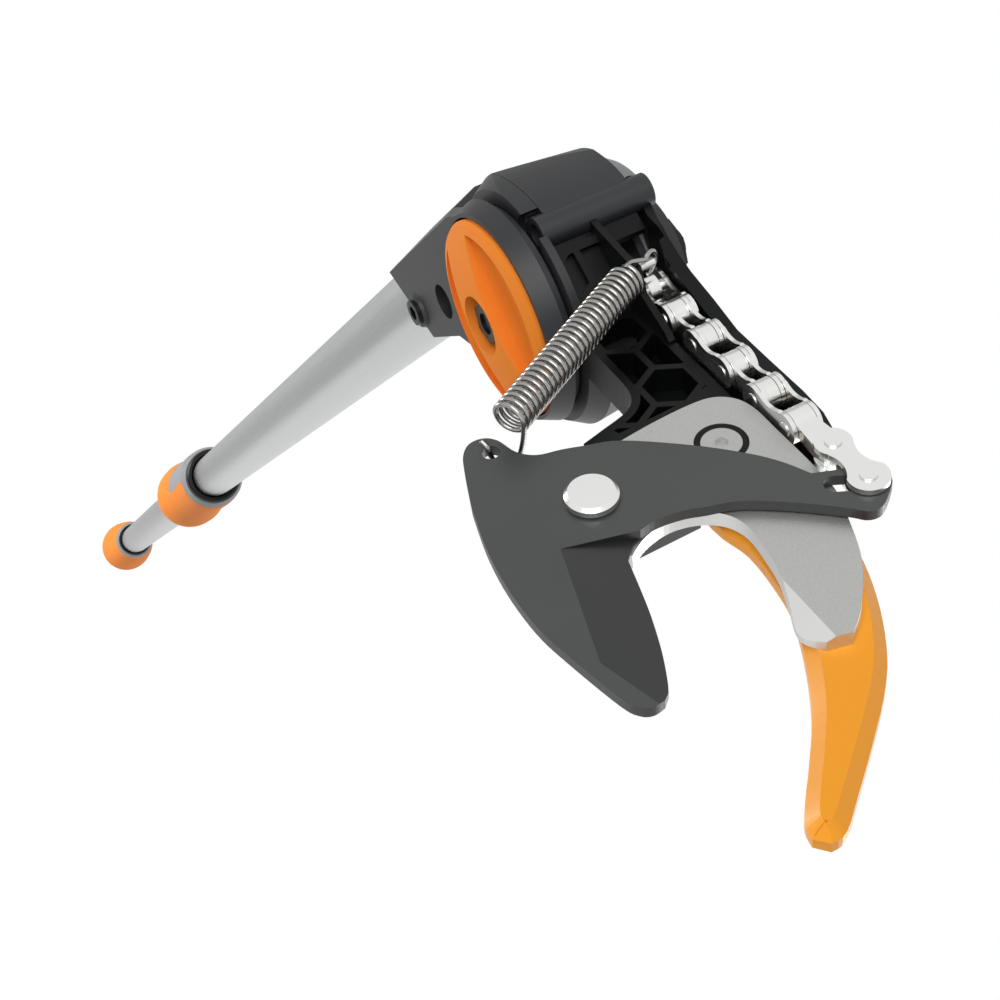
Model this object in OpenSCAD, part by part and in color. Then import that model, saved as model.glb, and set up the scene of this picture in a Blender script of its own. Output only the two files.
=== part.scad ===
// Tree pruner pole: a slide handle on an aluminium pole pulls a strap, the strap turns a drum,
// the drum draws in a chain, and the chain closes a hooked bypass cutting head that can be leant over.
// The pole stands on +Z with its foot at the origin. +X is the tilt axis, towards the clamp knob.

/* [Pole] */
// Outer diameter of the aluminium pole
pole_d = 27; // [24:0.5:28]
// Wall of the pole
pole_wall = 1.6; // [1.2:0.1:2.4]
// Height of the tilt axis above the foot
tilt_height = 1552; // [1400:1:1900]
// Distance of the tilt axis from the pole's axis
tilt_offset = 21.5; // [20.5:0.1:22.5]
// How far the head leans from the pole's line, degrees
head_lean = 45; // [0:1:110]

/* [Grips] */
// Diameter of the slide handle's swell
handle_d = 47; // [44:1:54]
// Height of the slide handle's swell above the foot
handle_height = 690; // [500:1:900]
// Length from the slide handle's ring to its swell
handle_neck = 135; // [100:1:160]
// Diameter of the end knob
knob_end_d = 51; // [44:1:58]
// Length from the end knob's ring to its swell
knob_end_neck = 122; // [90:1:150]
// Outer diameter of the black ring on the slide handle
grip_ring_d = 35; // [33:0.5:38]
// Outer diameter of the black ring on the end knob
end_ring_d = 31.6; // [31:0.2:35]
// Travel of the slide handle
handle_travel = 86.7; // [60:0.1:90]

/* [Fork] */
// Inner face of the near ear
near_ear_x = 14.4; // [14:0.1:16]
// Outer face of the near ear
near_face_x = 22; // [20:0.5:24]
// Inner face of the far ear
far_ear_x = -21; // [-23:0.1:-20.5]
// Outer face of the far ear
far_face_x = -25.5; // [-30:0.5:-25]
// Radius of the ears
ear_r = 31; // [29:0.5:32]
// Length of the bracket below the tilt axis
bracket_length = 80; // [76:1:104]
// Width of the socket round the pole across the fork's plane
socket_depth = 34; // [32:0.5:38]

/* [Clamp knob] */
// Radius of the clamp knob
clamp_r = 27.2; // [25:0.2:27.4]
// Rise of the clamp knob's face above the ear
knob_rise = 1.8; // [1.4:0.1:2.4]
// Width of the finger bar
bar_w = 17.6; // [16:0.1:20]
// Rise of the clamp knob's middle above its rim
knob_dome = 4.2; // [3:0.1:5]

/* [Drum housing] */
// Outer radius of the drum housing
housing_r = 33; // [32.6:0.1:33.4]
// Wall of the drum housing
housing_wall = 1.5; // [1.2:0.1:1.6]
// Near end of the drum housing
housing_near_x = 13.9; // [13:0.1:14]
// Far end of the drum housing
housing_far_x = -15.5; // [-16:0.1:-15]
// Place of the seam between the housing's shells
seam_x = 9; // [8:0.1:10]
// Bore of the accessory tube on the head
accessory_bore_d = 5.8; // [4:0.1:6]
// Outer diameter of the accessory tube
accessory_d = 9.2; // [8.5:0.1:10]

/* [Drive] */
// Pitch of the chain
chain_pitch = 12.7; // [12:0.1:13]
// Radius at which the chain lies on its wheel
chain_wheel_r = 12.7; // [11:0.1:13]
// Place of the chain across the head
chain_x = -7.5; // [-7.7:0.1:-7.4]
// Width of the pull strap
strap_w = 8; // [6:0.5:8.5]
// Thickness of the pull strap
strap_t = 1.2; // [0.8:0.1:1.6]
// Angle that the drum turns to close the blade
drum_turn = 231; // [180:1:240]

/* [Blades] */
// Thickness of the cutting blade
blade_t = 2.8; // [2.6:0.1:2.9]
// Thickness of the counter blade
counter_t = 4; // [3:0.1:5]
// Thickness of the hook
hook_t = 8; // [6:0.5:9]
// Front face of the cutting blade ahead of the tilt axis
blade_front = 19.4; // [19.2:0.1:19.6]
// Diameter of the pivot bolt's head
pivot_head_d = 12.3; // [11:0.1:14]
// Shank diameter of the pivot bolt
pivot_d = 8; // [6:0.5:9]

/* [Return spring] */
// Outer diameter of the return spring
spring_d = 9.4; // [8:0.1:10]
// Wire of the return spring
spring_wire = 1.3; // [1:0.1:1.4]
// Number of curls
spring_curls = 29; // [28:1:35]

/* [Hidden] */
$fn = 96;

// Clearance between pieces of one body that are pushed together
seat = 0.05;
// Running clearance on a shaft
run = 0.06;
// Clearance between bodies that pass each other
pass = 0.3;

charcoal = "#3a3b3d";
black = "#1c1c1e";
orange_plastic = "#ee7a26";
bright_steel = "#c9ccce";
dark_steel = "#4b4c4e";
grey_plastic = "#7d7e80";
alu = "#b9bbbd";

// Depth levels of the head, measured along head y, front is negative
blade_back = -blade_front + blade_t;
counter_front = blade_back + pass;
counter_back = counter_front + counter_t;
hook_back = counter_back + hook_t;
web_t = 3;
web_back = hook_back + web_t;

// Places in the head plane, head x and z
pivot = [45, 88.5];
tip = [chain_x, 117];
lug = [56.2, 62.6];
counter_hole = [10, 86.5];
counter_bolt_d = 6;
washer_r = 6.3;
bolt_head_r = 4.8;
strap_x = 2.8;
accessory = [-26.5, 6.7];

sleeve_r = 6;
tilt_bolt_d = 8;
housing_bulge = 2.4;
swing_r = housing_r + housing_bulge + 1;
drum_r = tilt_offset - strap_t / 2;
link_r = 4;
plate_t = 1.1;
inner_gap = 3.3;
roller_r = 3.85;
chain_pin_r = 1.8;
link_mid = blade_back - blade_t / 2;
chain_slope = atan((-link_mid - chain_wheel_r) / tip[1]);

// Points of a smooth open curve through p, n steps a span
function curve(p, n = 5) = let (k = len(p)) concat([for (i = [0:k - 2], s = [0:n - 1])
  let (a = p[max(i - 1, 0)], b = p[i], c = p[i + 1], d = p[min(i + 2, k - 1)], t = s / n)
    b + t * (c - a) / 2 + t * t * (a - 2.5 * b + 2 * c - 0.5 * d) + t * t * t * (1.5 * (b - c) + (d - a)
      / 2)],
  [p[k - 1]]);

// Points of an arc about c
function arc(c, r, a0, a1, n = 10) = [for (i = [0:n]) let (a = a0 + (a1 - a0) * i / n)
  c + r * [cos(a), sin(a)]];

module at_tilt() { translate([0, tilt_offset, tilt_height]) children(); }

module in_head() { at_tilt() rotate([-head_lean, 0, 0]) children(); }

// Extrudes an outline in head x and z from head depth y0 to y1
module plate(y0, y1) { translate([0, y1, 0]) rotate([90, 0, 0]) linear_extrude(y1 - y0) children(); }

// Round rod across the head, along x
module rod_x(x0, x1, r) { translate([x0, 0, 0]) rotate([0, 90, 0]) cylinder(h = x1 - x0, r = r); }

// Cone across the head, along x
module cone_x(x0, x1, r0, r1) {
  translate([x0, 0, 0]) rotate([0, 90, 0]) cylinder(h = x1 - x0, r1 = r0, r2 = r1);
}

// Round rod along head y at a place in the head plane
module rod_y(at, y0, y1, r) { translate([at[0], y1, at[1]]) rotate([90, 0, 0]) cylinder(h = y1 - y0,
  r = r); }

// Hexagonal rod along head y
module hex_y(at, y0, y1, across) {
  translate([at[0], y1, at[1]]) rotate([90, 0, 0]) cylinder(h = y1 - y0, r = across / sqrt(3), $fn = 6);
}

// Hexagonal rod along x
module hex_x(x0, x1, across) {
  translate([x0, 0, 0]) rotate([0, 90, 0]) cylinder(h = x1 - x0, r = across / sqrt(3), $fn = 6);
}

// Pole and its grips

slot_w = 5;
carriage_z = handle_height + handle_neck - 22;
pole_foot = 12;
pole_top = tilt_height - 42;

module pole_tube() {
  color(alu) difference() {
    translate([0, 0, pole_foot]) cylinder(h = pole_top - pole_foot, d = pole_d);
    translate([0, 0, pole_foot - 1]) cylinder(h = pole_top - pole_foot + 2, d = pole_d - 2 * pole_wall);
    translate([-pole_d, -slot_w / 2, carriage_z - handle_travel - 4]) cube([pole_d, slot_w,
      handle_travel + 8]);
    at_tilt() translate([0, screw_y, screw_z]) rod_x(-pole_d, pole_d, screw_d / 2 + 0.2);
  }
}

// Step from the grip's neck down to its ring
collar_rise = 2.6;

// Flank of a grip from its swell to its neck, radius and height; h is the neck's length
function grip_flank(swell_d, h, ring_d) = let (swell = swell_d / 2, neck = ring_d / 2 + collar_rise)
  curve([[swell, 0], [swell - 0.8, 14], [swell - 2.6, h * 0.42], [neck + 0.6, h * 0.78], [neck, h - 14]],
    4);

// Turned body of a grip
module grip_body(swell_d, h, foot, bore_d, ring_d) {
  swell = swell_d / 2;
  round_r = min(16, swell - bore_d / 2 - 2);
  rotate_extrude() polygon(concat([[bore_d / 2, -foot]],
    arc([swell - round_r, -foot + round_r], round_r, -90, -6, 8),
    grip_flank(swell_d, h, ring_d), [[bore_d / 2, h - 14]]));
}

// Strip under a grip's flank, from depth d0 to d1, carried on past the flank's end by over
module flank_strip(swell_d, h, d0, d1, a0, turn, over) {
  whole = grip_flank(swell_d, h, grip_ring_d);
  flank = concat([for (i = [7:16]) whole[i]], over > 0 ? [whole[16] + [0, over]] : []);
  rotate([0, 0, a0]) rotate_extrude(angle = turn) polygon(concat([for (q = flank) q - [d1, 0]],
    [for (i = [len(flank) - 1:-1:0]) flank[i] - [d0, 0]]));
}

module grip_collar(h, bore_d, ring_d) {
  neck = ring_d / 2;
  translate([0, 0, h - 14]) difference() {
    cylinder(h = 8, r1 = neck + collar_rise, r2 = neck + 0.6);
    translate([0, 0, -1]) cylinder(h = 10, d = bore_d);
  }
}

module grip_ring(h, bore_d, ring_d) {
  neck = ring_d / 2;
  translate([0, 0, h - 6]) rotate_extrude() polygon([[bore_d / 2, 0], [neck, 0], [neck, 4.4], [neck - 1, 6],
    [bore_d / 2 + 1, 6], [bore_d / 2, 5]]);
}

end_swell_z = 24;
end_bore = pole_d + 2 * seat;
handle_bore = pole_d + 2 * pass;

module end_knob() {
  color(orange_plastic) difference() {
    translate([0, 0, end_swell_z]) grip_body(knob_end_d, knob_end_neck, end_swell_z, 0, end_ring_d);
    translate([0, 0, pole_foot]) cylinder(h = knob_end_neck + end_swell_z, d = end_bore);
    for (a = [116, 130, 144]) rotate([0, 0, a]) translate([0, 0, end_swell_z + knob_end_neck - 22])
      rod_x(end_bore / 2 + 2, knob_end_d, 4);
  }
}

module end_knob_collar() {
  color(grey_plastic) translate([0, 0, end_swell_z]) grip_collar(knob_end_neck, end_bore, end_ring_d);
}

module end_knob_ring() {
  color(black) translate([0, 0, end_swell_z]) grip_ring(knob_end_neck, end_bore, end_ring_d);
}

// Grey inlay let into the slide handle's flank, with a pointed notch at one end
inlay_depth = 1.6;
inlay_start = -118;
inlay_turn = 106;
notch_turn = inlay_start + inlay_turn - 10;
module inlay_notch(w) {
  rotate([0, 0, notch_turn]) translate([0, w, handle_neck * 0.77]) rotate([0, 90, 0])
    linear_extrude(handle_d) polygon([[-20, 9], [-7, 1], [24, 5], [24, 24], [-20, 24]]);
}

module handle_grip() {
  color(orange_plastic) difference() {
    translate([0, 0, handle_height]) grip_body(handle_d, handle_neck, 26, handle_bore, grip_ring_d);
    handle_pin_hole();
    translate([0, 0, handle_height]) difference() {
      flank_strip(handle_d, handle_neck, -3, inlay_depth + 0.1, inlay_start, inlay_turn, 1);
      inlay_notch(0);
    }
  }
}

module handle_inlay() {
  color(grey_plastic) translate([0, 0, handle_height]) difference() {
    flank_strip(handle_d, handle_neck, 0.1, inlay_depth, inlay_start + 0.3, inlay_turn - 0.6, 0);
    inlay_notch(-0.1);
  }
}

module handle_collar() {
  color(grey_plastic) translate([0, 0, handle_height]) grip_collar(handle_neck, handle_bore, grip_ring_d);
}

module handle_ring() {
  color(black) translate([0, 0, handle_height]) grip_ring(handle_neck, handle_bore, grip_ring_d);
}

carriage_h = 36;
carriage_r = pole_d / 2 - pole_wall - pass;
pin_r = 2;

pin_end = 6;
module handle_pin_hole() { translate([0, 0, carriage_z]) rod_x(-pole_d, pin_end + seat, pin_r + seat); }

module handle_carriage() {
  color(grey_plastic) difference() {
    translate([0, 0, carriage_z - carriage_h / 2]) cylinder(h = carriage_h, r = carriage_r);
    handle_pin_hole();
    translate([strap_x - strap_w / 2 - seat, -strap_t / 2 - seat, carriage_z + 6])
      cube([strap_w + 2 * seat, strap_t + 2 * seat, carriage_h]);
  }
}

module handle_pin() {
  color(bright_steel) translate([0, 0, carriage_z]) rod_x(-grip_ring_d / 2 + 1, pin_end, pin_r);
}

module pull_strap() {
  color(black) translate([strap_x - strap_w / 2, -strap_t / 2, carriage_z + 7])
    cube([strap_w, strap_t, tilt_height - carriage_z - 7]);
}

// Fork bracket, drawn about the tilt axis

screw_d = 6;
screw_y = -15;
screw_z = -bracket_length + 16;
recess_at = [-12.6, -38.4];
socket_back = -tilt_offset - socket_depth / 2;
socket_front = -tilt_offset + 15.5;
bridge_z = -32;
far_ear_r = 19.2;
boss_h = 1;

// Socket below the fork's arms, in y and z
module socket_side() {
  polygon([[socket_back, -bracket_length - 2], [socket_front, -bracket_length + 18], [socket_front + 4,
    -38],
    [socket_front + 4, bridge_z], [socket_back, bridge_z]]);
}

module near_arm_side() {
  polygon([[socket_back, -50], [socket_front + 2, -50], [-2, -38], [4, -28], [14, 0], [-28, 4],
    [socket_back, -40]]);
}

module far_arm_side() {
  polygon([[socket_back + 2, -50], [socket_front, -50], [19, -9], [-19, 9]]);
}

// Socket across the pole, flat towards the clamp knob and sloped away behind it
function socket_section() = concat([[near_face_x, tilt_offset + 16], [far_face_x, tilt_offset + 16]],
  arc([far_face_x + 10, -socket_depth / 2 + 10], 10, 180, 270), [[2, -socket_depth / 2], [near_face_x,
  -8.7]]);

module pole_bracket() {
  color(charcoal) at_tilt() difference() {
    union() {
      intersection() {
        union() {
          side(far_face_x, near_face_x) socket_side();
          side(near_ear_x, near_face_x) near_arm_side();
          side(far_face_x, far_ear_x) far_arm_side();
        }
        translate([0, -tilt_offset, -bracket_length - 4]) linear_extrude(bracket_length + 20)
          polygon(socket_section());
      }
      rod_x(near_ear_x, near_ear_x + 2.6, ear_r - 2.6);
      cone_x(near_ear_x + 2.6, near_face_x, ear_r, ear_r - 2.2);
      cone_x(far_face_x, far_ear_x, far_ear_r - 1, far_ear_r);
      translate([0, screw_y, screw_z]) cone_x(near_face_x - 1, near_face_x + boss_h, 5.8, 4.9);
    }
    rod_x(far_ear_x, near_ear_x, swing_r);
    cone_x(near_ear_x + 2.8, near_face_x + 0.01, clamp_r + 0.4, clamp_r + 0.6);
    rod_x(far_face_x - 1, near_face_x, tilt_bolt_d / 2 + seat);
    translate([0, -tilt_offset, -bracket_length - 10]) cylinder(h = bracket_length - 32,
      d = pole_d + 2 * seat);
    translate([strap_x - strap_w / 2 - 1.5, -tilt_offset - 3, -bracket_length]) cube([strap_w + 3, 6,
      bracket_length]);
    translate([0, screw_y, screw_z]) rod_x(far_face_x - 1, near_face_x + 4, screw_d / 2 + seat);
    translate([0, recess_at[0], recess_at[1]]) rod_x(near_face_x - 7.6, near_face_x + 1, 5.2);
  }
}

module bracket_screw() {
  head_x = near_face_x + boss_h;
  color(black) at_tilt() translate([0, screw_y, screw_z]) difference() {
    union() {
      rod_x(far_face_x - 5, head_x, screw_d / 2);
      rod_x(head_x, head_x + 1.2, 3.9);
    }
    hex_x(head_x - 1.4, head_x + 4, 4);
  }
}

module bracket_nut() {
  color(black) at_tilt() translate([0, screw_y, screw_z]) difference() {
    hex_x(far_face_x - 4.4, far_face_x, 10);
    rod_x(far_face_x - 5, far_face_x + 1, screw_d / 2 + seat);
  }
}

module tilt_sleeve() {
  color(bright_steel) at_tilt() difference() {
    rod_x(far_ear_x, near_ear_x, sleeve_r);
    rod_x(far_ear_x - 1, near_ear_x + 1, tilt_bolt_d / 2 + seat);
  }
}

clamp_floor_x = near_ear_x + 2.8;
clamp_washer_t = 1;
bolt_head_x = clamp_floor_x + clamp_washer_t + 4.4;

module tilt_bolt() {
  color(black) at_tilt() difference() {
    union() {
      rod_x(far_face_x - 8, bolt_head_x, tilt_bolt_d / 2);
      hex_x(bolt_head_x, bolt_head_x + 3.4, 10.4);
      rod_x(bolt_head_x, bolt_head_x + 0.8, 6.6);
    }
    rod_x(bolt_head_x + 2.6, bolt_head_x + 5, 3);
  }
}

module tilt_nut() {
  color(black) at_tilt() difference() {
    hex_x(far_face_x - 6.5, far_face_x, 13);
    rod_x(far_face_x - 7, far_face_x + 1, tilt_bolt_d / 2 + seat);
  }
}

// Clamp knob, set into the near ear

module clamp_washer() {
  color(bright_steel) at_tilt() difference() {
    rod_x(clamp_floor_x, clamp_floor_x + clamp_washer_t, 12);
    rod_x(clamp_floor_x - 1, clamp_floor_x + clamp_washer_t + 1, tilt_bolt_d / 2 + run);
  }
}

// Turned blank of the knob, domed from its rim to its middle
module knob_blank(base_x, rim_x) {
  face_r = clamp_r - 1;
  dome_r = (face_r * face_r + knob_dome * knob_dome) / (2 * knob_dome);
  lean = asin(face_r / dome_r);
  rim = rim_x - base_x;
  translate([base_x, 0, 0]) rotate([0, 90, 0]) rotate_extrude() polygon(concat(
    [[0, 0], [clamp_r, 0], [clamp_r, rim - 1.2]], [for (i = [0:8]) let (a = lean * (1 - i / 8))
      [dome_r * sin(a), rim + knob_dome - dome_r + dome_r * cos(a)]]));
}

module clamp_knob() {
  base_x = clamp_floor_x + clamp_washer_t + 0.02;
  rim_x = near_face_x + knob_rise;
  top_x = rim_x + knob_dome;
  scoop_r = 15;
  scoop_depth = 2.4;
  color(orange_plastic) at_tilt() difference() {
    knob_blank(base_x, rim_x);
    for (s = [-1, 1]) intersection() {
      translate([rim_x + scoop_r - scoop_depth, 0, s * (bar_w / 2 + 7)]) rotate([90, 0, 0])
        cylinder(h = 2 * clamp_r, r = scoop_r, center = true);
      rod_x(base_x + 0.6, top_x + 1, clamp_r - 3);
      translate([base_x, -clamp_r, s > 0 ? bar_w / 2 : -bar_w / 2 - clamp_r]) cube([20, 2 * clamp_r,
        clamp_r]);
    }
    rod_x(base_x - 1, top_x + 1, tilt_bolt_d / 2 + run);
    cone_x(bolt_head_x - 0.1, top_x + 0.01, 7.2, 8.4);
  }
}

// Drum housing and frame, on the head

housing_slot_w = strap_w + 2;
shell_start = 80;
shell_end = 370;
strap_slot_start = 130;
strap_slot_end = 264;
cap_front_r = 19.2;

// Sector in the plane across the tilt axis, angles from the head's line towards its front
module sector_x(x0, x1, r, a0, a1) {
  translate([x0, 0, 0]) rotate([90, 0, 90]) linear_extrude(x1 - x0)
    polygon(concat([[0, 0]], [for (i = [0:24]) let (a = a0 + (a1 - a0) * i / 24) r * [-sin(a), cos(a)]]));
}

// Front of the shells, eased down to the accessory tube, in head y and z
module shell_front() {
  polygon(concat(curve([[-30.6, 7], [-31.9, 0], [-31.6, -8], [-29.8, -16.6], [-26.4, -25]], 4),
    [[-26, -70], [70, -70], [70, 70], [-30.6, 70]]));
}

module shell_ring(x0, x1, r0, r1) {
  difference() {
    intersection() {
      cone_x(x0, x1, r0, r1);
      sector_x(x0 - 1, x1 + 1, 2 * housing_r, shell_start, shell_end);
      side(x0 - 1, x1 + 1) shell_front();
    }
    intersection() {
      rod_x(x0 - 1, x1 + 1, housing_r - housing_wall);
      side(x0 - 1, x1 + 1) polygon([[-29.6, -60], [60, -60], [60, 60], [-29.6, 60]]);
    }
  }
}

// Round the tilt axis: whole behind, and of a smaller radius in front where the head's frame stands
module open_front(x0, x1, front_r) {
  sector_x(x0, x1, 2 * housing_r, shell_start, shell_end - 18);
  rod_x(x0, x1, front_r);
}

module side_wall(x0, x1) {
  difference() {
    rod_x(x0, x1, housing_r - housing_wall + 0.5);
    rod_x(x0 - 1, x1 + 1, sleeve_r + run);
  }
}

module drum_housing() {
  color(charcoal) in_head() difference() {
    union() {
      difference() {
        shell_ring(housing_far_x, seam_x - 0.15, housing_r, housing_r + housing_bulge);
        intersection() {
          rod_x(strap_x - housing_slot_w / 2, strap_x + housing_slot_w / 2, 2 * housing_r);
          sector_x(strap_x - housing_slot_w / 2, strap_x + housing_slot_w / 2, 3 * housing_r,
            strap_slot_start,
            strap_slot_end);
        }
      }
      intersection() {
        side_wall(housing_far_x, housing_far_x + 2);
        open_front(housing_far_x, housing_far_x + 2, cap_front_r);
        side(housing_far_x, housing_far_x + 2) shell_front();
      }
      translate([0, accessory[0], accessory[1]]) rod_x(-20.4, seam_x + 3, accessory_d / 2);
    }
    translate([0, accessory[0], accessory[1]]) rod_x(-22, near_ear_x, accessory_bore_d / 2);
  }
}

module near_shell() {
  color(charcoal) in_head() difference() {
    union() {
      shell_ring(seam_x, housing_near_x, housing_r + housing_bulge, housing_r - 0.6);
      intersection() {
        side_wall(housing_near_x - 2.2, housing_near_x);
        side(housing_near_x - 3, housing_near_x) shell_front();
      }
    }
    translate([0, accessory[0], accessory[1]]) rod_x(seam_x - 1, near_ear_x, accessory_d / 2 + 1.6);
  }
}

module housing_cap() {
  color(grey_plastic) in_head() difference() {
    intersection() {
      cone_x(far_ear_x + pass, housing_far_x, housing_r - 5, housing_r - 1.5);
      open_front(far_ear_x, housing_far_x + 1, cap_front_r);
      side(far_ear_x, housing_far_x + 1) shell_front();
    }
    rod_x(far_ear_x - 1, housing_far_x + 1, sleeve_r + run);
    translate([0, accessory[0], accessory[1]]) rod_x(far_ear_x - 1, housing_far_x + 1,
      accessory_d / 2 + 0.4);
  }
}

frame_x = 15.5;
rail_x = -2;
rail_w = 1.8;
rib_w = 1.7;
hex_across = 11.6;
drum_space = drum_r + 3.5;
// Hood line in front of the drum, in head y and z
hood_top = [-25.6, 9];
hood_foot = [counter_back, 30.2];
hood_slope = atan2(hood_foot[1] - hood_top[1], hood_foot[0] - hood_top[0]);
hood_x = 11.6;
// Height of the ribs on the hood, and the edges of its bar down the slope
hood_rise = 2;
hood_bar = [4, 6.2];

// Edge of the frame towards the spring, and the whole of its outline
frame_left = [[frame_x, 50], [frame_x + 0.6, 57], [19.6, 61.4], [28.5, 64], [34, 65.4]];

function frame_outline() = concat([[rail_x - rail_w / 2, 22], [frame_x, 22]], curve(frame_left, 4),
  [[35, 69], [30, 74], [rail_x - rail_w / 2, 74]]);

module web_outline() {
  polygon(concat([[-15, 24], [frame_x, 24]], curve(frame_left, 4),
    [[35, 69], [29, 74], [26, 80], [20, 92], [-8, 96], [-14.6, 92]]));
}

module hex_pockets() {
  step = hex_across + rib_w;
  for (i = [-1:2], j = [0:4]) translate([i * step + (j % 2 == 0 ? 0 : step / 2), 25 + j * step * 0.866])
    rotate(30) circle(r = hex_across / sqrt(3), $fn = 6);
}

// Extrudes an outline in head y and z between two places across the head
module side(x0, x1) { translate([x0, 0, 0]) rotate([90, 0, 90]) linear_extrude(x1 - x0) children(); }

module rib(a, b) {
  across = rib_w / 2 * [a[1] - b[1], b[0] - a[0]] / norm(b - a);
  polygon([a + across, b + across, b - across, a - across]);
}

// Ribs that stand on the hood, across it and down its slope: a bar, a rim and a fork in the pocket
module hood_ribs() {
  rim_x = hood_x - 2;
  corner_r = 2.6;
  slope_end = norm(hood_foot - hood_top);
  fork = [5.6, 15.4];
  difference() {
    translate([rail_x, hood_bar[0]]) square([hood_x - rail_x, slope_end - hood_bar[0]]);
    polygon(concat([[rail_x - 1, hood_bar[1]]],
      arc([rim_x - corner_r, hood_bar[1] + corner_r], corner_r, -90, 0, 6),
      [[rim_x, slope_end + 1], [rail_x - 1, slope_end + 1]]));
  }
  rib([fork[0], hood_bar[1] - 0.5], fork);
  rib(fork, [rim_x + 0.5, 18.4]);
  rib(fork, [rail_x, 17.4]);
}

module head_frame() {
  color(charcoal) in_head() difference() {
    union() {
      plate(hook_back, web_back) web_outline();
      difference() {
        plate(counter_back, hook_back) polygon(frame_outline());
        plate(counter_back - 1, hook_back - 0.8) intersection() {
          hex_pockets();
          polygon(concat([[rail_x + 1.6, 32], [frame_x - 2, 32]],
            curve([[frame_x - 2, 50], [frame_x - 1.2, 58.4], [19, 63.4], [26, 65.6]], 4),
            [[25.4, 67], [14, 66.8], [4, 66.2], [rail_x + 1.6, 64.6]]));
        }
      }
      side(rail_x - rail_w / 2, hood_x)
        polygon([hood_top, hood_foot, hood_foot + [2, 0], hood_top + [2, -1.2]]);
      translate([0, hood_top[0], hood_top[1]]) rotate([hood_slope, 0, 0]) translate([0, 0, -0.5])
        linear_extrude(0.5 + hood_rise) hood_ribs();
      side(-14.8, rail_x) polygon([hood_top, [-21.9, 15], [-20.6, 15], hood_top + [2, -1.2]]);
      side(rail_x - rail_w / 2, rail_x + rail_w / 2)
        polygon([hood_top + [-2.4, 1], [-27.4, 14.4], [-26.2, post[1] - 3], [-26.2, post[1] + 2.4],
          [-19.6, 34.5], [-14.6, 45.4], [-13, 47], [hook_back, 47], [hook_back, 30], hood_foot, hood_top]);
    }
    rod_x(-13.4, hood_x + seat, drum_space);
    rod_x(hood_x, near_ear_x - pass, housing_r - housing_wall + 0.55);
    rod_x(near_ear_x - pass - 0.01, 20, ear_r + 0.4);
    intersection() {
      rod_x(-30, -13.3, housing_r - housing_wall + 0.55);
      open_front(-30, -13.3, cap_front_r + 0.4);
    }
    intersection() {
      rod_x(-20, 20, housing_r + housing_bulge + seat);
      sector_x(-20, 20, 2 * housing_r, shell_start - 4, shell_end + 1);
    }
    translate([0, accessory[0], accessory[1]]) rod_x(-30, 20, accessory_d / 2 + seat);
    rod_y(counter_hole, hook_back - 1, web_back + 1, counter_bolt_d / 2 + seat);
    translate([0, post[0], post[1]]) rod_x(-10, 0, post_r + seat);
  }
}

// Outer wall of the chain's channel, high beside the drum and low where the blade sweeps over it
module channel_wall() {
  inner = [[-12.4, 98], [-12.4, 29], [-14.4, 20], [-17.8, 5]];
  outer = [[-20.5, 5], [-17, 18], [-16.2, 24], [-16, 29], [-16.3, 44], [-16.2, 67], [-16.3, 81],
    [-15.8, 89.6], [-14.4, 95]];
  color(charcoal) in_head() difference() {
    intersection() {
      plate(-27, hook_back) polygon(concat(outer, inner));
      side(-30, 0) polygon([[-26.4, 6], [-25, 20], [-19.5, 34], [-17, 44], [-14.4, 54], [-14.4, 99],
        [hook_back, 99], [hook_back, 32], [-10, 20], [-20, 6]]);
    }
    translate([0, accessory[0], accessory[1]]) rod_x(-30, 20, accessory_d / 2 + seat);
    rod_x(-30, -10, cap_front_r + 0.4);
    cone_x(housing_far_x - seat, -10, housing_r + seat, housing_r + 0.7);
  }
}

// Pin across the rail that holds the spring's upper loop, at head y and z
post = [-24, 30];
post_r = 1.2;

module spring_post() {
  color(bright_steel) in_head() translate([0, post[0], post[1]]) union() {
    rod_x(-7.8, rail_x + rail_w / 2 + 0.2, post_r);
    rod_x(rail_x + rail_w / 2, rail_x + rail_w / 2 + 1.2, 2.2);
  }
}

// Cutting parts

lever_r = norm(tip - pivot);
lever_turn = atan2(tip[1] - pivot[1], tip[0] - pivot[0]);
tab_r = 4.6;
slot_r = 2.42;
slot_side = 0.4;

// Places along the blade's lever, r from the pivot and s across
function on_lever(r, s = 0) = pivot + r * [cos(lever_turn), sin(lever_turn)] + s * [sin(lever_turn),
  -cos(lever_turn)];

module blade_outline() {
  polygon(concat(
    curve([[64.6, 66], [62.2, 60.4], [59.2, 57.4], [55.6, 57.4], [53, 60], [51.4, 65.6], [48, 69.2],
      [42.6, 70.8],
      [37.6, 72.7], [29.7, 76.1], [17.6, 86.3], [9, 95.4], [4.4, 101.8], [1.2, 108.4]]),
    arc(on_lever(lever_r + 0.6), tab_r, lever_turn + 90,
    lever_turn - 10, 6),
    curve([[-9.4, 122.2], [-5.4, 125], [-2, 124.6], [1, 121.4], [9, 114], [18.3, 107], [25.6, 104.2],
    [30.8, 102.3],
      [37.2, 101.5], [43.4, 102.7]]),
    curve([[47, 106.6], [49, 114.4], [51.3, 122.6], [54.5, 131.7], [57.6, 138.7], [59.4, 142]]),
    curve([[61.4, 143.8], [64.2, 144.2], [66.6, 142.8], [68.6, 138.4], [71.8, 123], [73.2, 113], [73,
    100.4],
      [71.3, 88.3], [68.1, 75.6]])));
}

// Half-space in front of a plane that leaves the blade's face along a line turned by a in the head plane
module bevel_cut(at, a, front, slope, w, z0, z1) {
  translate([at[0], front, at[1]]) rotate([0, a, 0]) translate([0, 0, z0]) linear_extrude(z1 - z0)
    polygon([[0, 0], [-w, w * slope], [-w, -1], [0, -1]]);
}

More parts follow.
